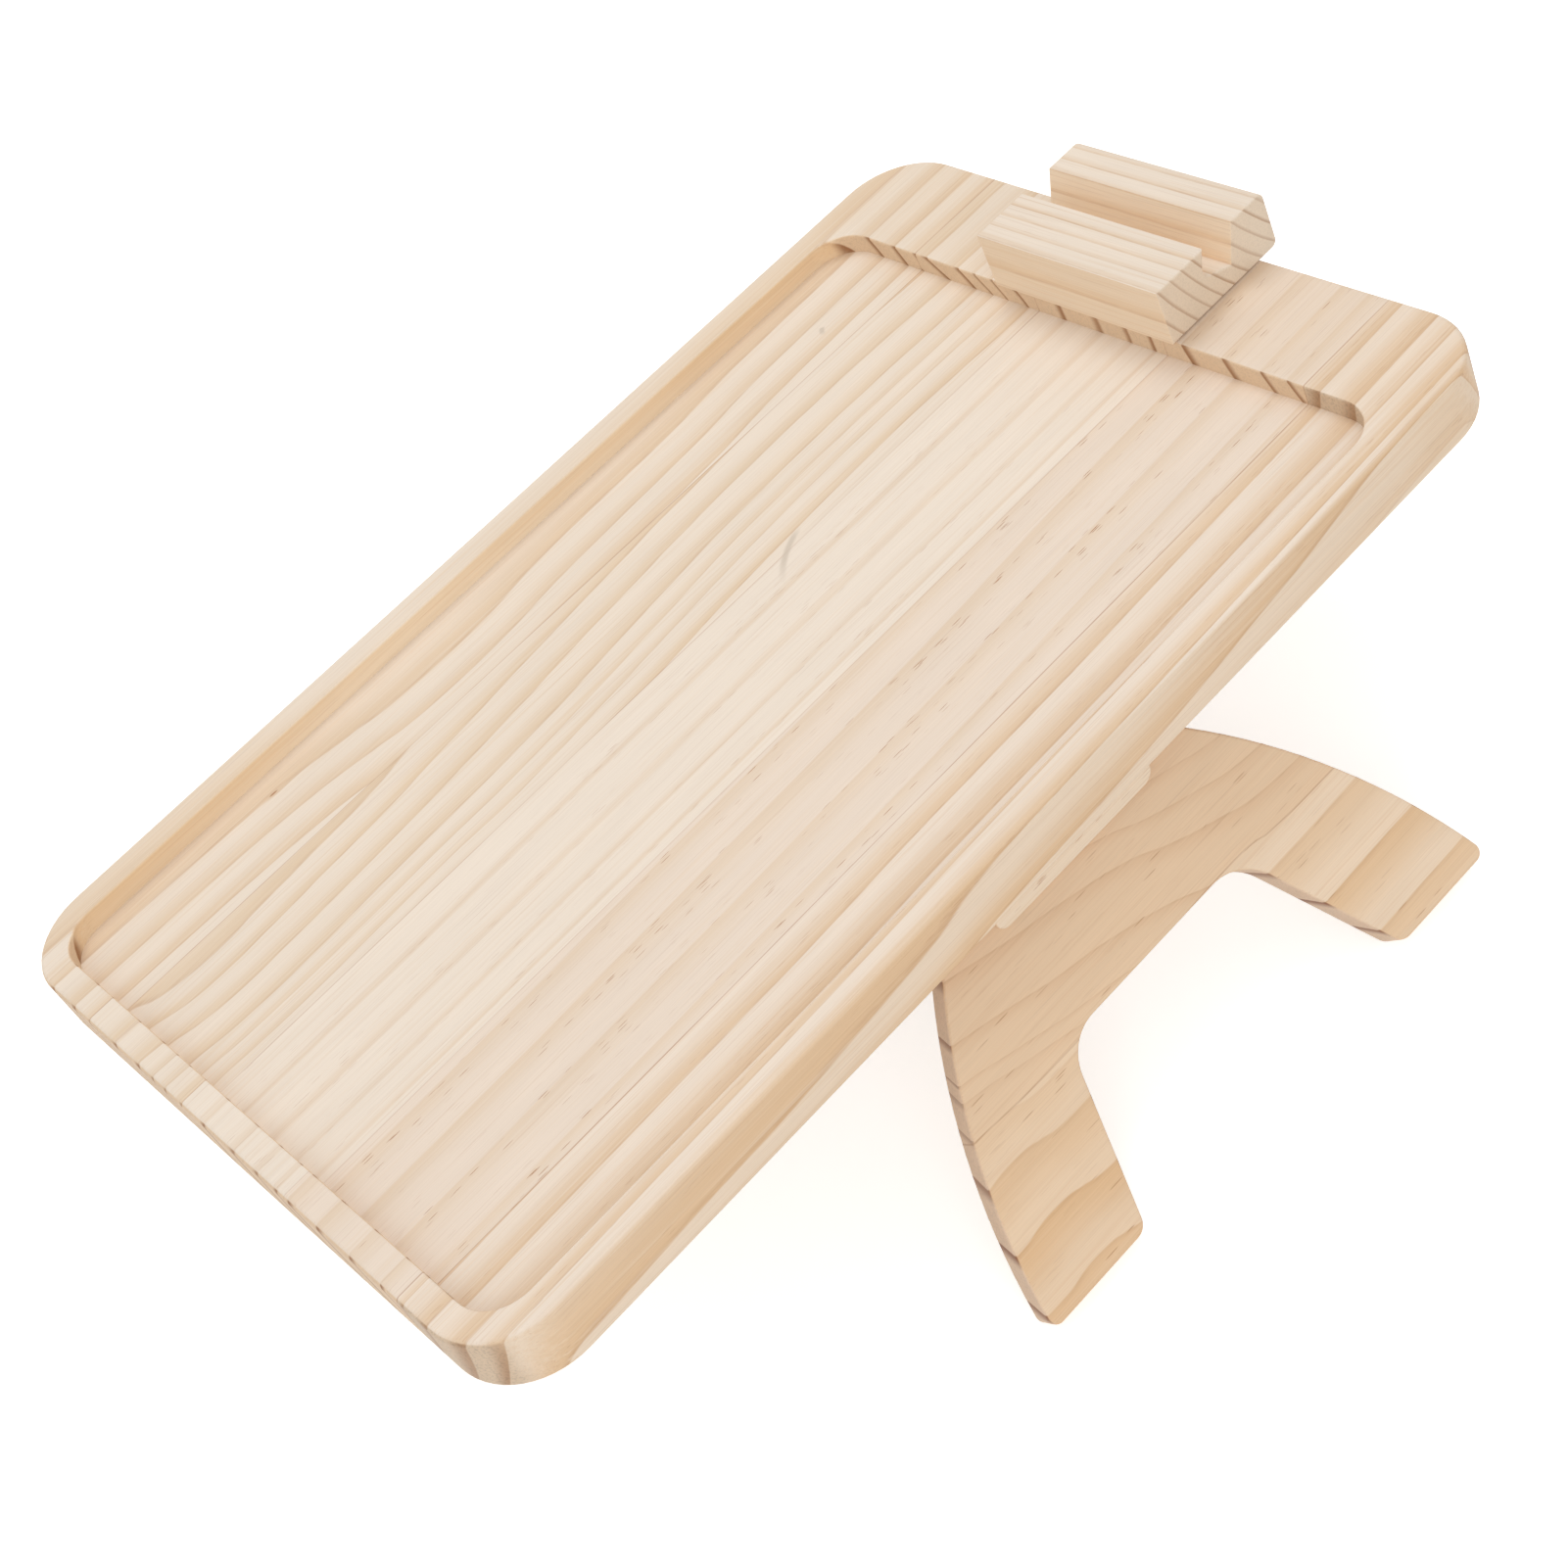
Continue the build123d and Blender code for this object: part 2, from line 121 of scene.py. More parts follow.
class Tree:
    """Node tree of a material or the world, with a short call for each kind of node used here."""

    def __init__(self, owner):
        self.owner = owner
        owner.use_nodes = True
        self.nodes = owner.node_tree.nodes
        self.links = owner.node_tree.links
        self.shader = self.nodes.get("Principled BSDF")

    def put(self, kind, values=(), **settings):
        """A node of one kind with its settings made, and its inputs set or linked to what values gives."""
        node = self.nodes.new("ShaderNode" + kind)
        for key, value in settings.items():
            setattr(node, key, value)
        for key, value in dict(values).items():
            self.feed(node.inputs[key], value)
        return node

    def feed(self, socket, value):
        """Links a socket to another node's output, or sets its own value."""
        if isinstance(value, bpy.types.NodeSocket):
            self.links.new(value, socket)
        else:
            socket.default_value = value

    def math(self, operation, *values):
        """Result of one operation on one value or more."""
        return self.put("Math", enumerate(values), operation=operation).outputs[0]

    def total(self, first, *others):
        """first with each of the others added."""
        for other in others:
            first = self.math("ADD", first, other)
        return first

    def product(self, first, *others):
        """first times each of the others."""
        for other in others:
            first = self.math("MULTIPLY", first, other)
        return first

    def less(self, first, *others):
        """first with each of the others taken away."""
        for other in others:
            first = self.math("SUBTRACT", first, other)
        return first

    def absolute(self, value):
        """A value without its sign."""
        return self.math("ABSOLUTE", value)

    def length(self, one, two):
        """Length of a line that reaches one along and two across."""
        return self.math("SQRT", self.math("MULTIPLY_ADD", one, one, self.math("MULTIPLY", two, two)))

    def ramp(self, value, start, end, before=0.0, after=1.0, smooth=True):
        """before where a value hasn't reached start, after where it is past end, and a slope between."""
        node = self.put(
            "MapRange",
            {0: value, 1: start, 2: end, 3: before, 4: after},
            interpolation_type="SMOOTHSTEP" if smooth else "LINEAR",
        )
        return node.outputs[0]

    def curve(self, value, points, smooth=True):
        """A value looked up on a curve through points, each a pair of place and result."""
        places = [place for place, result in points]
        results = [result for place, result in points]
        low = min(results)
        high = max(max(results), low + LEAST_HEIGHT)
        share = self.ramp(value, places[0], places[-1], smooth=False)
        node = self.put("FloatCurve", {"Value": share})
        line = node.mapping.curves[0]
        for place, result in points[1:-1]:
            line.points.new((place - places[0]) / (places[-1] - places[0]), (result - low) / (high - low))
        line.points[0].location = (0, (results[0] - low) / (high - low))
        line.points[-1].location = (1, (results[-1] - low) / (high - low))
        for point in line.points:
            point.handle_type = "AUTO" if smooth else "VECTOR"
        node.mapping.update()
        return self.ramp(node.outputs[0], 0, 1, before=low, after=high, smooth=False)

    def noise(self, place, grains, detail=2.0, rough=0.5, seed=0.0):
        """Noise from 0 to 1, whose grains have the given sizes along the three axes."""
        fit = {
            "Vector": place,
            "Location": (seed, seed * 2, seed * 3),
            "Scale": [1 / size for size in grains],
        }
        sized = self.put("Mapping", fit, vector_type="POINT").outputs[0]
        values = {"Vector": sized, "Scale": 1.0, "Detail": detail, "Roughness": rough}
        return self.put("TexNoise", values).outputs[0]

    def between(self, share, one, two):
        """Value one turned into value two by share."""
        return self.put("Mix", {0: share, 2: one, 3: two}).outputs[0]

    def mix(self, share, one, two, blend="MIX"):
        """Colour one turned into colour two by share."""
        node = self.put("Mix", {0: share, 6: one, 7: two}, data_type="RGBA", blend_type=blend)
        return node.outputs[2]

    def shaded(self, colour, shade):
        """A colour times a shade of grey."""
        grey = self.put("CombineColor", {0: shade, 1: shade, 2: shade}).outputs[0]
        return self.mix(1.0, colour, grey, "MULTIPLY")

    def backdrop(self):
        """1 for a ray that shows the background, straight or through gloss or glass, and 0 for others."""
        path = self.put("LightPath").outputs
        seen = self.math("MAXIMUM", path["Is Camera Ray"], path["Is Glossy Ray"])
        return self.math("MAXIMUM", seen, path["Is Transmission Ray"])


@dataclass
class Figure:
    """How the growth rings run on one board's face. Lengths are millimetres along the grain, across it and
    up through the board."""

    # Pairs: where a ring ends on the face, half-way along, and how dark it is
    rings: tuple
    # Where the pith lies, across and up
    pith: tuple
    # How far across the rings shift along the board, and how they draw together round lean_middle
    sweep: tuple = ((-210, 0), (210, 0))
    lean: tuple = ()
    lean_middle: float = 0.0
    # Width of the rings that aren't listed, and how far every ring wavers
    ring_width: float = 9.0
    wobble: float = 0.5
    # Within a ring, as shares of its width: where it starts to darken and by what power, over how much
    # it turns pale again at its end, and where its line on end grain starts
    start: float = 0.2
    power: float = 1.4
    fall: float = 0.04
    line_start: float = 0.7
    # How dark the fine line at a ring's end is, and how warm the wood is along the board
    edge: float = 0.26
    warm: tuple = ()
    # Colours of the early wood and the late wood
    pale: tuple = srgb(238, 223, 206)
    tan: tuple = srgb(226, 199, 167)

    def radius(self, across):
        """Distance from the pith of a point on the board's face, half-way along."""
        return math.hypot(across - self.pith[0], self.pith[1])

    def ring_points(self):
        """Pairs of radius and ring number: a ring ends at each whole number."""
        ends = sorted(self.radius(across) for across, dark in self.rings)
        points = [(end, number) for number, end in enumerate(ends, FIRST_RING)]
        while points[0][0] > self.ring_width and points[0][1] > 1:
            points.insert(0, (points[0][0] - self.ring_width, points[0][1] - 1))
        for _ in range(RINGS_BEYOND):
            points.append((points[-1][0] + self.ring_width, points[-1][1] + 1))
        return points

    def dark_points(self):
        """Pairs of ring number and darkness for the rings."""
        pairs = sorted((self.radius(across), dark) for across, dark in self.rings)
        points = [(number - 0.5, dark) for number, (end, dark) in enumerate(pairs, FIRST_RING)]
        return [(0, PLAIN_DARK), *points, (LAST_RING, PLAIN_DARK)]

    def grow(self, tree, along, across, height, wobble, rough):
        """Colour of the rings, how dark they are, their lines on end grain, and the place within one."""
        sideways = tree.less(across, self.pith[0], tree.curve(along, self.sweep))
        if self.lean:
            lean = tree.product(tree.curve(along, self.lean), tree.less(across, self.lean_middle))
            sideways = tree.less(sideways, lean)
        upward = tree.less(height, self.pith[1])
        radius = tree.math("MULTIPLY_ADD", wobble, self.wobble, tree.length(sideways, upward))
        number = tree.curve(radius, self.ring_points(), smooth=False)
        within = tree.math("FRACT", number)
        middle = tree.total(tree.math("FLOOR", number), 0.5)
        dark = tree.curve(middle, self.dark_points(), smooth=False)

        # Late wood darkens towards a ring's end and turns pale again over the last of it
        rise = tree.math("POWER", tree.ramp(within, self.start, 1 - self.fall), self.power)
        drop = tree.ramp(within, 1 - self.fall, 1.0, before=1.0, after=0.0)
        late = tree.product(rise, drop, dark)
        colour = tree.mix(late, self.pale, self.tan)
        if self.warm:
            warmth = tree.curve(along, self.warm, smooth=False)
            colour = tree.mix(warmth, colour, WARM_TINT, "MULTIPLY")

        # The fine line at its end, broken up here and there, and its line on end grain
        edge = tree.product(tree.ramp(within, 1 - 3 * self.fall, 1 - self.fall), drop, dark, self.edge)
        edge = tree.product(edge, tree.ramp(rough, 0.4, 0.6, before=0.35))
        line = tree.product(tree.ramp(within, self.line_start, 1 - self.fall), drop)
        line = tree.product(line, tree.ramp(dark, 0.2, 0.8, before=0.3))
        return tree.mix(edge, colour, BROWN), late, line, within


@dataclass
class Board:
    """A piece of wood: its figure, how its own axes lie in the part, and what marks it has."""

    figure: Figure
    # The figure below a seam, and how far across the seam runs, for a board that has one
    lower_figure: Figure = None
    seam: tuple = ()
    # Where the board's own axes start in the part, and how they are turned
    origin: tuple = (0, 0, RECESS_FLOOR)
    turn: tuple = (0, 0, 0)
    # End grain, its rings, the tint of painted light and shade on sides across the face, and how much pores
    # darken end grain
    end_pale: tuple = srgb(232, 204, 172)
    end_ring: tuple = srgb(164, 118, 82)
    flank_painted_shading: tuple = FLANK_PAINTED_SHADE
    pores: float = 0.1
    # How strong streaks, hairlines and resin canals are, and the canals' length, width and number
    streaks: float = 0.35
    hairs: float = 0.13
    dashes: float = 0.0
    dash_size: tuple = (9, 0.5)
    dash_share: float = 0.6
    # Shifts every noise, so that no two boards are alike
    seed: float = 1.0
    # Glue lines, each a place and darkness, knots, each a place and size, and grey strokes, each the start
    # and the run of its stroke, and its width
    glue: tuple = ()
    knots: tuple = ()
    grey_strokes: tuple = ()


def board_axes(tree, board):
    """Where a point lies on the board's own axes, in millimetres, and which way its surface faces."""
    coordinates = tree.put("TexCoord").outputs
    lie = {
        "Vector": coordinates["Object"],
        "Location": [length * MM for length in board.origin],
        "Rotation": board.turn,
        "Scale": (MM, MM, MM),
    }
    place = tree.put("Mapping", lie, vector_type="TEXTURE").outputs[0]
    turn = {"Vector": coordinates["Normal"], "Rotation": board.turn}
    normal = tree.put("Mapping", turn, vector_type="TEXTURE").outputs[0]
    return place, tree.put("SeparateXYZ", {0: normal}).outputs


def round_knots(tree, board, along, across):
    """How far across a point lies, with the rings spread round each knot, and the knots' dark spots."""
    spots = []
    for knot_along, knot_across, size in board.knots:
        reach = tree.product(tree.less(along, knot_along), 1 / (KNOT_STRETCH * size))
        off = tree.less(across, knot_across)
        distance = tree.length(reach, tree.product(off, 1 / size))
        near = tree.ramp(distance, 0.1, 1.8, before=0.85, after=0.0)
        across = tree.less(across, tree.product(near, off))
        spots.append(tree.ramp(distance, 0.12, 0.3, before=0.8, after=0.0))
    return across, spots


def ring_growth(tree, board, place, along, across, height):
    """What Figure.grow gives, above and below the seam if there is one, and the distance from the seam."""
    wobble = tree.noise(place, WOBBLE_SIZE, seed=board.seed)
    wobble = tree.ramp(wobble, 0, 1, before=-2, after=2, smooth=False)
    ripple = tree.noise(place, RIPPLE_SIZE, seed=board.seed + 1)
    ripple = tree.ramp(ripple, 0, 1, before=-0.35, after=0.35, smooth=False)
    spot = (along, across, height, tree.total(wobble, ripple))
    rough = tree.noise(place, ROUGH_SIZE, detail=2, seed=board.seed + 2)
    growth = board.figure.grow(tree, *spot, rough)
    if not board.seam:
        return growth, None
    from_seam = tree.less(across, tree.curve(along, board.seam))
    upper = tree.ramp(from_seam, -0.25, 0.25)
    lower_growth = board.lower_figure.grow(tree, *spot, rough)
    colour = tree.mix(upper, lower_growth[0], growth[0])
    others = [tree.between(upper, below, above) for below, above in zip(lower_growth[1:], growth[1:])]
    return (colour, *others), from_seam


def fibres(tree, board, place, colour):
    """The colour with its fibres, streaks and hairlines, and the fibres, blotches and shade themselves."""
    fibre = tree.noise(place, FIBRE_SIZE, detail=3, rough=0.6, seed=board.seed + 3)
    streak = tree.noise(place, STREAK_SIZE, detail=3, rough=0.7, seed=board.seed + 4)
    blotch = tree.noise(place, BLOTCH_SIZE, seed=board.seed + 5)
    hair = tree.noise(place, HAIR_SIZE, detail=1, seed=board.seed + 6)
    clouds = tree.ramp(blotch, 0.3, 0.7, before=0.975, after=1.015, smooth=False)
    threads = tree.ramp(fibre, 0.25, 0.75, before=0.945, after=1.035, smooth=False)
    shade = tree.product(clouds, threads)
    colour = tree.shaded(colour, shade)
    colour = tree.mix(tree.ramp(streak, 0.5, 0.68, after=board.streaks), colour, board.figure.tan)
    colour = tree.mix(tree.ramp(streak, 0.5, 0.32, after=board.streaks), colour, board.figure.pale)
    colour = tree.mix(tree.ramp(hair, 0.62, 0.72, after=board.hairs), colour, BROWN)
    return colour, fibre, blotch, shade


def resin_canals(tree, board, place, within):
    """How far a point is within a resin canal, which shows as a fine dash in the late wood."""
    long, wide = board.dash_size
    scale = (1 / long, 1 / wide, 1 / wide)
    cells = tree.put("Mapping", {"Vector": place, "Scale": scale}, vector_type="POINT").outputs[0]
    cell = tree.put("TexVoronoi", {"Vector": cells, "Scale": 1.0}, feature="F1").outputs
    dash = tree.ramp(cell["Distance"], 0.16, 0.27, before=1.0, after=0.0)
    chosen = tree.put("SeparateColor", {0: cell["Color"]}).outputs[0]
    dash = tree.product(dash, tree.math("LESS_THAN", chosen, board.dash_share))
    zone = tree.ramp(tree.noise(place, ZONE_SIZE, detail=1, seed=board.seed + 8), 0.4, 0.6)
    return tree.product(dash, zone, tree.ramp(within, 0.4, 0.7, before=0.2), board.dashes)


def paint_side_shading_and_end_grain(tree, board, place, facing, colour, line, shade):
    """The colour with painted shading on sides across the face, as the board's tint gives, and with darker
    end grain whose rings stand out.
    """
    # Painted shading: sides across the face take the board's tint of painted light and shade
    painted_flank_share = tree.ramp(tree.absolute(facing[2]), 0.5, 0.9, before=1.0, after=0.0)
    colour = tree.mix(painted_flank_share, colour, tree.mix(1.0, colour, board.flank_painted_shading, "MULTIPLY"))
    end = tree.ramp(tree.absolute(facing[0]), 0.5, 0.75)
    speckle = tree.noise(place, PORE_SIZE, detail=2, rough=0.6, seed=board.seed)
    pores = tree.ramp(speckle, 0.45, 0.7, before=1.0, after=1.0 - board.pores)
    ringed = tree.shaded(tree.mix(line, board.end_pale, board.end_ring), tree.product(pores, shade))
    return tree.mix(end, colour, ringed)


def grey_stroke(tree, mark, along, across, height):
    """How far a point is within a greyish mark on top of the board, which is a short bowed stroke."""
    (start_along, start_across), (run_along, run_across), width = mark
    run = math.hypot(run_along, run_across)
    turn_along = run_along / run
    turn_across = run_across / run
    from_start = tree.less(along, start_along)
    off_start = tree.less(across, start_across)
    forward = tree.total(tree.product(from_start, turn_along), tree.product(off_start, turn_across))
    aside = tree.total(tree.product(off_start, turn_along), tree.product(from_start, -turn_across))
    bow = tree.product(forward, tree.less(run, forward), 4 * STROKE_BOW_SHARE / run)
    stroke = tree.ramp(tree.absolute(tree.less(aside, bow)), 0.3, width, before=0.75, after=0.0)
    rise = tree.ramp(forward, 0, run / 2)
    drop = tree.ramp(forward, run * 0.8, run, before=1.0, after=0.0)
    on_top = tree.ramp(height, -1.0, -0.5)
    return tree.product(stroke, rise, drop, on_top)


def pine(name, board):
    """Raw pine, whose growth rings run through the board as they grew round the pith."""
    tree = Tree(bpy.data.materials.new(name))
    place, facing = board_axes(tree, board)
    along, across, height = tree.put("SeparateXYZ", {0: place}).outputs
    across, knot_spots = round_knots(tree, board, along, across)
    growth, from_seam = ring_growth(tree, board, place, along, across, height)
    colour, late, line, within = growth
    colour, fibre, blotch, shade = fibres(tree, board, place, colour)
    dash = resin_canals(tree, board, place, within)
    colour = tree.mix(dash, colour, BROWN)
    # Painted shade and light on sides across the face, and the end grain's own darker colour
    colour = paint_side_shading_and_end_grain(tree, board, place, facing, colour, line, shade)

    # Glue lines along the board's edges and the seam, all fainter in places, then knots and grey strokes
    for glue_across, strength in board.glue:
        joint = tree.absolute(tree.less(across, glue_across))
        joint = tree.ramp(joint, 0.08, 0.3, before=strength, after=0.0)
        joint = tree.product(joint, tree.ramp(blotch, 0.4, 0.55, before=0.25))
        colour = tree.mix(joint, colour, BROWN)
    if board.seam:
        joint = tree.ramp(tree.absolute(from_seam), 0.1, 0.35, before=0.5, after=0.0)
        joint = tree.product(joint, tree.ramp(fibre, 0.35, 0.6, before=0.3))
        colour = tree.mix(joint, colour, BROWN)
    for spot in knot_spots:
        colour = tree.mix(spot, colour, BROWN)
    # Short greyish bowed strokes on top
    for mark in board.grey_strokes:
        colour = tree.mix(grey_stroke(tree, mark, along, across, height), colour, GREY_STROKE_COLOUR)

    # Late wood is smoother and stands a little higher, and the canals are hollow
    tree.feed(tree.shader.inputs["Base Color"], colour)
    roughness = tree.ramp(late, 0, 1, before=0.62, after=0.5, smooth=False)
    tree.feed(tree.shader.inputs["Roughness"], roughness)
    tree.feed(tree.shader.inputs["Specular IOR Level"], 0.3)
    relief = tree.math("MULTIPLY_ADD", fibre, 0.6, tree.product(late, 0.4))
    relief = tree.less(relief, tree.product(dash, 0.5))
    bump = tree.put("Bump", {"Height": relief, "Strength": 0.5, "Distance": GRAIN_RELIEF})
    tree.feed(tree.shader.inputs["Normal"], bump.outputs[0])
    return tree.owner


def metal(name, colour, rough, grains):
    """Plated or drawn metal with fine scratches, whose grains have the given sizes, in metres."""
    tree = Tree(bpy.data.materials.new(name))
    place = tree.put("TexCoord").outputs["Object"]
    scratches = tree.noise(place, grains, detail=3, rough=0.6)
    marks = tree.total(scratches, tree.noise(place, CLOUD_SIZE))
    shade = tree.ramp(marks, 0.6, 1.4, before=0.86, after=1.06, smooth=False)
    tree.feed(tree.shader.inputs["Base Color"], tree.shaded(colour, shade))
    roughness = tree.ramp(scratches, 0.2, 0.8, before=rough - 0.08, after=rough + 0.1)
    tree.feed(tree.shader.inputs["Roughness"], roughness)
    tree.feed(tree.shader.inputs["Metallic"], 1.0)
    bump = tree.put("Bump", {"Height": scratches, "Strength": 0.4, "Distance": SCRATCH_RELIEF})
    tree.feed(tree.shader.inputs["Normal"], bump.outputs[0])
    return tree.owner


def dress(material, *names):
    """Gives CAD nodes a material."""
    for name in names:
        slots = nodes[name].data.materials
        slots.clear()
        slots.append(material)


# The five staves of the tray, a little warmer on the wide rim
RIM_WARMTH = ((-210, 0), (150, 0), (165, 0.5), (210, 0.5))
MIDDLE_GREY_STROKE = ((31.5, 12.5), (21.5, 15), 1.7)
RIM_GREY_STROKE = ((121.5, 88.5), (3, 4), 1.4)
RIM_KNOT = (-111, 107.5, 1.8)

left_rim_figure = Figure(
    rings=((128, 0.6), (102.5, 0.85), (89.5, 0.75), (77, 0.85)),
    pith=(150, -35),
    sweep=(
        (-210, 7), (-150, 6), (-110, 4), (-80, -0.5), (-50, -3.5), (0, 0), (60, 2.5), (105, 6), (210, 8)
    ),
    warm=RIM_WARMTH,
)
left_rim_board = Board(
    left_rim_figure,
    seed=2.0,
    # Painted brighter light on the routed recess walls
    flank_painted_shading=ROUTED_PAINTED_LIGHT,
    glue=(FAR_GLUE,),
    knots=(RIM_KNOT,),
    grey_strokes=(RIM_GREY_STROKE,),
)
dress(pine("left_rim_pine", left_rim_board), "left_rim_stave")

left_figure = Figure(
    rings=((86, 0.85), (73.5, 0.85), (60.7, 0.8), (47.8, 0.8), (40.3, 0.6), (33.3, 0.6), (24, 0.9)),
    pith=(104, -46),
    sweep=(
        (-210, -6), (-190, -7.6), (-160, -11.7), (-145, -11), (-100, -8.5), (-50, -4.8), (0, 0), (60, 4),
        (110, 5), (158, 3.5), (210, 3)
    ),
    lean=((-210, -0.03), (-190, -0.06), (-160, -0.21), (-145, -0.18), (-100, -0.14), (-50, 0), (210, 0)),
    lean_middle=50,
    tan=srgb(226, 200, 168),
    warm=RIM_WARMTH,
)
left_board = Board(left_figure, seed=4.0, glue=(FAR_GLUE, LEFT_GLUE), grey_strokes=(MIDDLE_GREY_STROKE,))
dress(pine("left_pine", left_board), "left_stave")

centre_figure = Figure(
    rings=((23.5, 0.4), (9.3, 0.7), (-6.8, 0.6), (-19.3, 0.6), (-29.4, 0.7)),
    pith=(150, -12),
    sweep=((-210, -1), (0, 0), (210, 1)),
    wobble=0.3,
    start=0.62,
    fall=0.1,
    edge=0.04,
    pale=srgb(240, 226, 210),
    tan=srgb(230, 208, 183),
    warm=RIM_WARMTH,
)
centre_board = Board(
    centre_figure, seed=6.0, dashes=0.35, glue=(LEFT_GLUE, RIGHT_GLUE), grey_strokes=(MIDDLE_GREY_STROKE,)
)
dress(pine("centre_pine", centre_board), "centre_stave")

right_figure = Figure(
    rings=((-33, 0.75), (-48, 0.8), (-64.5, 0.7), (-80.5, 0.7)),
    pith=(-150, 40),
    sweep=((-210, -3), (0, 0), (100, 4), (210, 7)),
    wobble=0.3,
    start=0.3,
    fall=0.06,
    edge=0.04,
    pale=srgb(237, 220, 203),
    tan=srgb(229, 206, 180),
    warm=RIM_WARMTH,
)
right_board = Board(right_figure, seed=8.0, dashes=0.9, dash_share=0.42, glue=(RIGHT_GLUE, NEAR_GLUE))
dress(pine("right_pine", right_board), "right_stave")

right_rim_figure = Figure(
    rings=(
        (-85, 0.8), (-96.5, 0.9), (-110, 0.95), (-117.9, 0.8), (-126.9, 1.0), (-130.5, 1.0), (-134.4, 0.4)
    ),
    pith=(-30, 20),
    ring_width=4,
    sweep=(
        (-210, -4.3), (-150, -3.2), (-80, -2.2), (-60, -1.8), (-40, -1.2), (-27, -0.6), (0, 0), (40, 0.5),
        (100, 2.2), (180, 4.3), (210, 5)
    ),
    wobble=0.2,
    line_start=0.45,
    power=0.8,
    pale=srgb(240, 224, 207),
    tan=srgb(226, 196, 162),
    warm=RIM_WARMTH,
)
right_rim_board = Board(
    right_rim_figure,
    seed=10.0,
    dashes=0.3,
    glue=(NEAR_GLUE,),
    end_pale=srgb(219, 195, 168),
    end_ring=srgb(182, 145, 112),
    pores=0.22,
)
dress(pine("right_rim_pine", right_rim_board), "right_rim_stave")

# Wings, whose axes lie along X and up the slope
WING_TONES = {"pale": srgb(235, 205, 172), "tan": srgb(224, 187, 150)}
LEG_TONES = {"pale": srgb(242, 219, 193), "tan": srgb(230, 193, 150)}
WING_MARKS = {
    "end_pale": srgb(234, 205, 178),
    "end_ring": srgb(152, 104, 76),
    "dashes": 0.5,
    "dash_size": (12, 0.8),
}

# On the near wing the rings of the legs meet those above at a seam
wing_figure = Figure(
    rings=((-1, 0.4), (-10.5, 0.5), (-20, 0.6), (-36, 0.6), (-46.3, 0.5), (-50.5, 0.4)),
    pith=(-190, -60),
    sweep=(
        (-100, 18), (-70, 15), (-50, 11), (-31, 6.7), (-7, 2), (11, -2.7), (24, -8), (40, -12.7), (55, -16),
        (100, -17.5)
    ),
    start=0.45,
    power=2.2,
    edge=0.28,
    fall=0.03,
    **WING_TONES,
)
leg_figure = Figure(
    rings=((-43.5, 0.3), (-54.5, 0.6), (-72, 0.85), (-89, 0.7)),
    pith=(-190, -60),
    sweep=(
        (-100, -1), (-85, -2.2), (-72, -1), (-60, -2.5), (-45, -4.5), (-20, -3), (20, 0.5), (60, 1.2),
        (100, 1.5)
    ),
    ring_width=14,
    wobble=0.25,
    power=0.7,
    warm=((-100, 0.9), (-30, 0.7), (30, 0.1), (100, 0.1)),
    **LEG_TONES,
)
right_wing_board = Board(
    wing_figure,
    lower_figure=leg_figure,
    seam=((-100, -45), (-75, -45.3), (-36, -46.7), (33, -44.3), (47, -46), (75, -47), (100, -47)),
    origin=(WING_MIDDLE_X, -WING_LINE_Y, 0),
    turn=(math.pi / 2 - WING_SPLAY, 0, 0),
    seed=12.0,
    **WING_MARKS,
)
dress(pine("right_wing_pine", right_wing_board), "right_wing")

far_wing_figure = Figure(
    rings=((-8, 0.8), (-20, 0.8), (-34, 0.9), (-46, 0.8), (-59, 0.9), (-75, 0.8), (-89, 0.9)),
    pith=(-170, 45),
    sweep=((-210, 6), (-60, 3), (0, 0), (60, 3), (210, 6)),
    **WING_TONES,
)
left_wing_board = Board(
    far_wing_figure,
    origin=(WING_MIDDLE_X, WING_LINE_Y, 0),
    turn=(math.pi / 2 + WING_SPLAY, 0, 0),
    seed=14.0,
    **WING_MARKS,
)
dress(pine("left_wing_pine", left_wing_board), "left_wing")

# Phone holder, with its grain across the tray
block_figure = Figure(
    rings=(
        (24.3, 0.6), (18.6, 0.5), (13.6, 0.6), (8.8, 0.9), (3.3, 0.6), (-2.7, 0.5), (-9.2, 0.5),
        (-14.9, 0.7), (-20.7, 0.4)
    ),
    pith=(-98, 54),
    ring_width=5.5,
    wobble=0.25,
    start=0.4,
    fall=0.06,
    edge=0.35,
    pale=srgb(236, 221, 204),
    tan=srgb(225, 199, 169),
)
block_board = Board(
    block_figure,
    origin=(BLOCK_MIDDLE_X, 0, BLOCK_TOP),
    turn=(0, 0, math.pi / 2),
    seed=16.0,
    dashes=0.15,
    # Painted brighter light on the block's sides and in its slot
    flank_painted_shading=BLOCK_PAINTED_LIGHT,
    end_pale=srgb(236, 218, 196),
    end_ring=srgb(196, 165, 137),
    pores=0.06,
)
dress(pine("block_pine", block_board), "phone_holder_block")

# Stop battens
batten_figure = Figure(
    rings=((-121, 0.5), (-126, 0.5)), pith=(-60, -20), ring_width=6, pale=srgb(242, 228, 212)
)
batten_board = Board(batten_figure, dashes=0.9, seed=18.0)
dress(pine("batten_pine", batten_board), "right_stop_batten", "left_stop_batten")

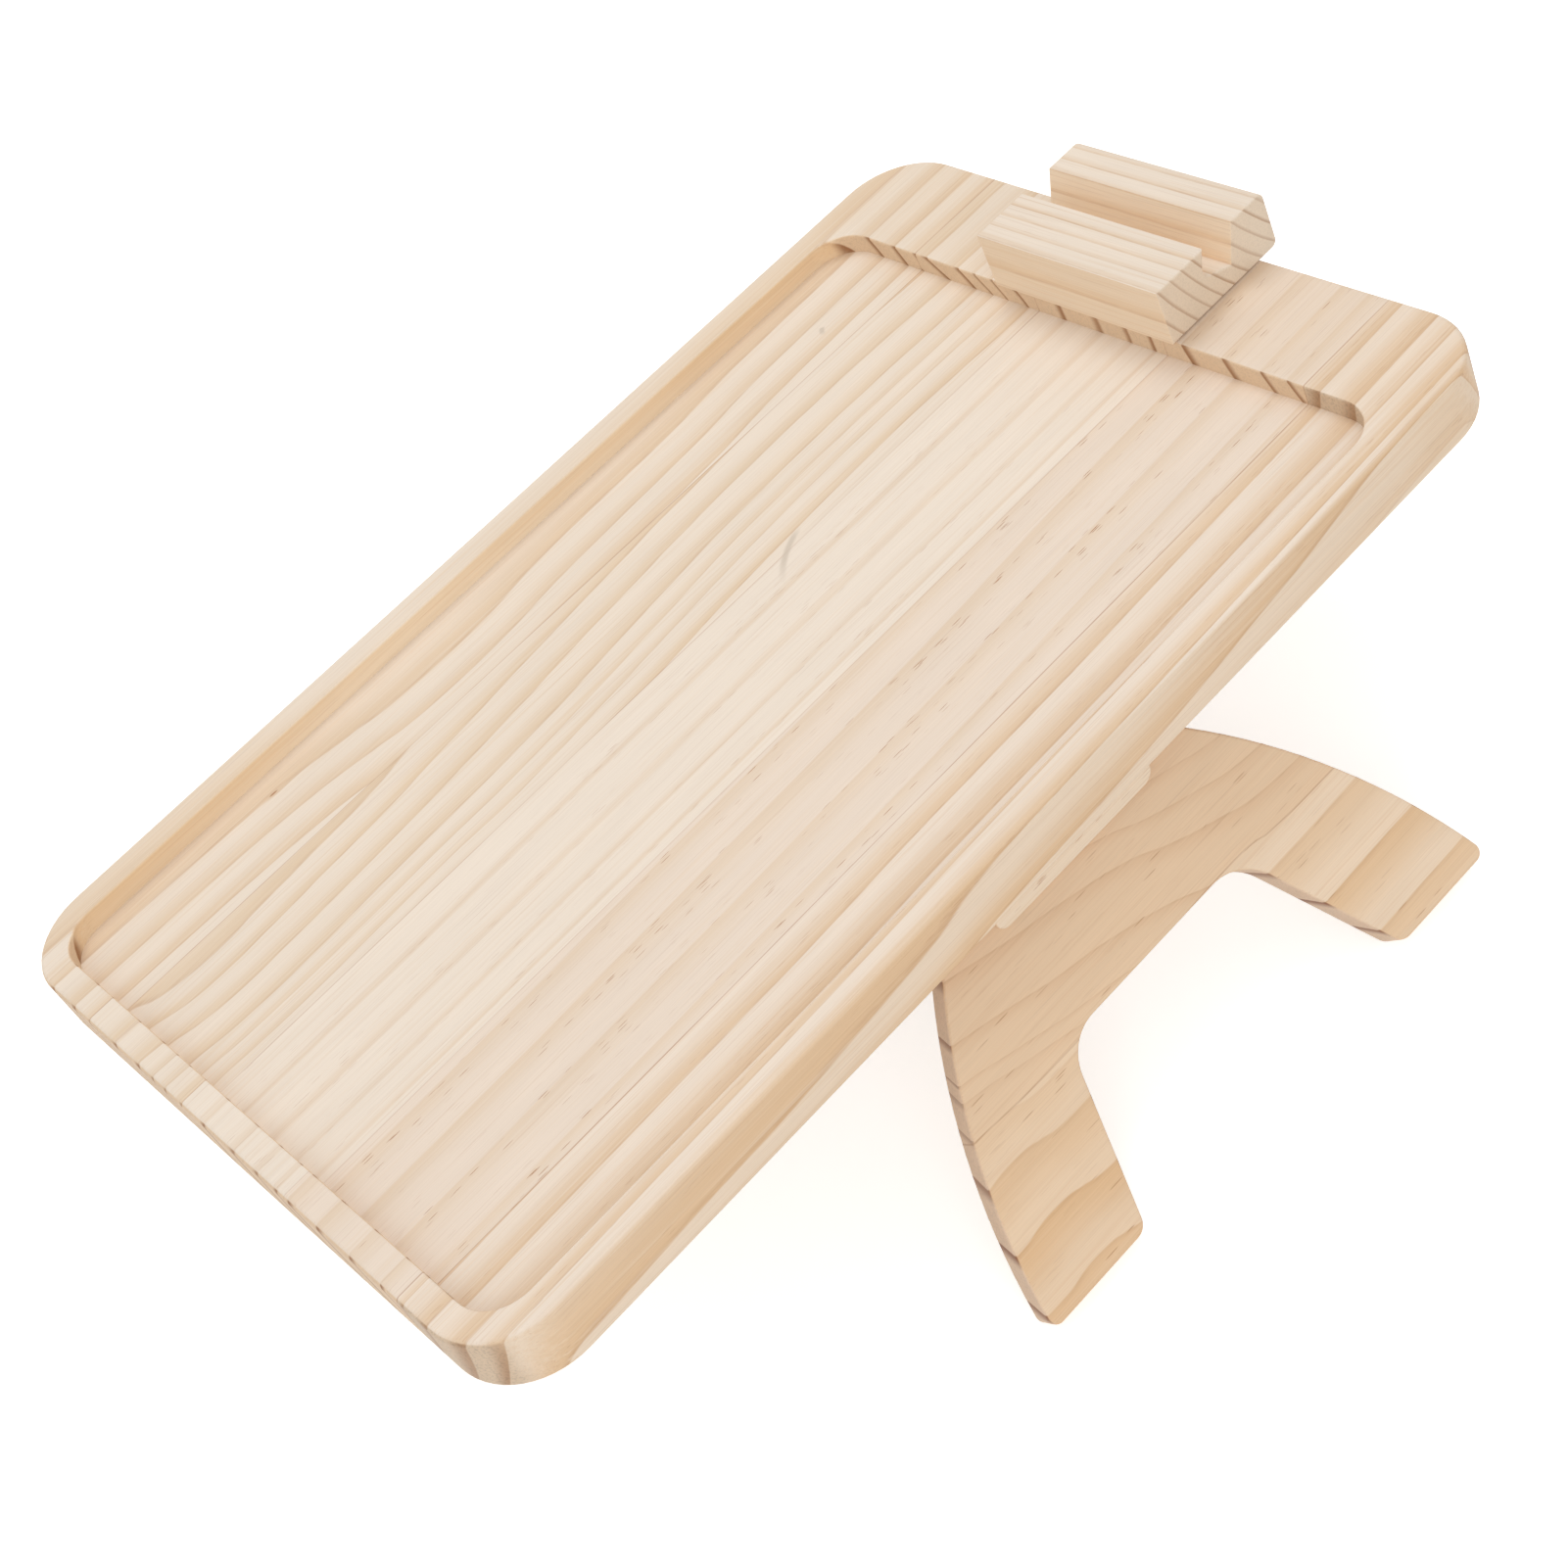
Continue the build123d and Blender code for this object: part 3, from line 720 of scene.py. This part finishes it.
# Fittings, whose colours are the metals' own reflectance
HINGE_STEEL = (0.62, 0.61, 0.59, 1.0)
PIN_STEEL = (0.55, 0.54, 0.52, 1.0)
SCREW_STEEL = (0.68, 0.66, 0.6, 1.0)
BOLT_STEEL = (0.66, 0.65, 0.62, 1.0)
BRASS = (0.78, 0.58, 0.28, 1.0)
SIDES = ("left", "right")
dress(
    metal("hinge_steel", HINGE_STEEL, rough=0.34, grains=(0.02, 0.0003, 0.0003)),
    *[f"{side}_hinge_{board}_leaf" for side in SIDES for board in ("tray", "wing")],
)
dress(
    metal("pin_steel", PIN_STEEL, rough=0.28, grains=(0.0004, 0.004, 0.004)),
    *[f"{side}_hinge_pin" for side in SIDES],
)
dress(
    metal("screw_steel", SCREW_STEEL, rough=0.3, grains=(0.0005, 0.0005, 0.004)),
    *[f"{side}_{kind}_screws" for side in SIDES for kind in ("batten", "hinge_tray", "hinge_wing")],
)
dress(
    metal("bolt_steel", BOLT_STEEL, rough=0.3, grains=(0.001, 0.001, 0.003)),
    "pivot_bolt",
    "pivot_washer",
)
dress(metal("insert_brass", BRASS, rough=0.32, grains=(0.002, 0.002, 0.0005)), "pivot_insert")

# Floor, which is the background, just under the tips of the wings and white where it is seen
FLOOR_SIZE = 12.0
FLOOR_GAP = 0.2 * MM
FLOOR_GLOW = 0.55
FLOOR_WHITE = (0.9, 0.9, 0.9, 1.0)
bpy.ops.mesh.primitive_plane_add(size=FLOOR_SIZE, location=(0, 0, cad_box[0].z - FLOOR_GAP))
floor = bpy.context.object
floor.name = "floor"
ground = Tree(bpy.data.materials.new("floor_white"))
ground.feed(ground.shader.inputs["Base Color"], FLOOR_WHITE)
ground.feed(ground.shader.inputs["Roughness"], 0.9)
ground.feed(ground.shader.inputs["Specular IOR Level"], 0.1)
matt = ground.shader.outputs[0]
glow = ground.put("Emission", {"Color": WHITE, "Strength": FLOOR_GLOW}).outputs[0]
lit = ground.put("AddShader", {0: matt, 1: glow}).outputs[0]
above = ground.put("MixShader", {0: ground.backdrop(), 1: matt, 2: lit}).outputs[0]
# From below the floor is clear, so that the tray's underside can be looked at.
below = ground.put("BsdfTransparent").outputs[0]
from_below = ground.put("NewGeometry").outputs["Backfacing"]
surface = ground.put("MixShader", {0: from_below, 1: above, 2: below}).outputs[0]
ground.feed(ground.nodes["Material Output"].inputs["Surface"], surface)
floor.data.materials.append(ground.owner)

# World: an even pale light, and white where it is seen
PALE_LIGHT = (1.0, 0.99, 0.975, 1.0)
EVEN_LIGHT_STRENGTH = 0.61
world = bpy.data.worlds.new("studio")
bpy.context.scene.world = world
sky = Tree(world)
even_light = sky.nodes["Background"]
sky.feed(even_light.inputs["Color"], PALE_LIGHT)
sky.feed(even_light.inputs["Strength"], EVEN_LIGHT_STRENGTH)
white = sky.put("Background", {"Color": WHITE, "Strength": 1.0})
either = sky.put("MixShader", {0: sky.backdrop(), 1: even_light.outputs[0], 2: white.outputs[0]})
sky.feed(sky.nodes["World Output"].inputs["Surface"], either.outputs[0])


def softbox(name, place, size, watts):
    """A square studio lamp that points at the middle of the tray."""
    lamp = bpy.data.lights.new(name, "AREA")
    lamp.shape = "SQUARE"
    lamp.size = size
    lamp.energy = watts
    holder = bpy.data.objects.new(name, lamp)
    holder.location = place
    holder.rotation_euler = (-Vector(place)).to_track_quat("-Z", "Y").to_euler()
    bpy.context.scene.collection.objects.link(holder)


# Lamps, one nearly overhead and one at the front
softbox("key_light", place=(0.3, 0.5, 1.6), size=1.1, watts=10.0)
softbox("fill_light", place=(-0.8, -1.45, 0.85), size=1.2, watts=7.8)

# Camera, where the photograph was taken from; it is rolled
CAMERA_PLACE = (-0.2371, -0.5718, 0.5299)
CAMERA_RIGHT = (0.6833, -0.6342, -0.3617)
CAMERA_UP = (0.675, 0.36, 0.644)
CAMERA_BACK = (-0.2782, -0.6842, 0.6741)
CAMERA_LENS = 62.98
SENSOR_WIDTH = 36.0
camera_data = bpy.data.cameras.new("camera")
camera_data.sensor_width = SENSOR_WIDTH
camera_data.lens = CAMERA_LENS
camera = bpy.data.objects.new("camera", camera_data)
camera_turn = Matrix((CAMERA_RIGHT, CAMERA_UP, CAMERA_BACK)).transposed()
camera.matrix_world = Matrix.Translation(CAMERA_PLACE) @ camera_turn.to_4x4()
bpy.context.scene.collection.objects.link(camera)
bpy.context.scene.camera = camera
bpy.context.scene.view_settings.view_transform = "Standard"
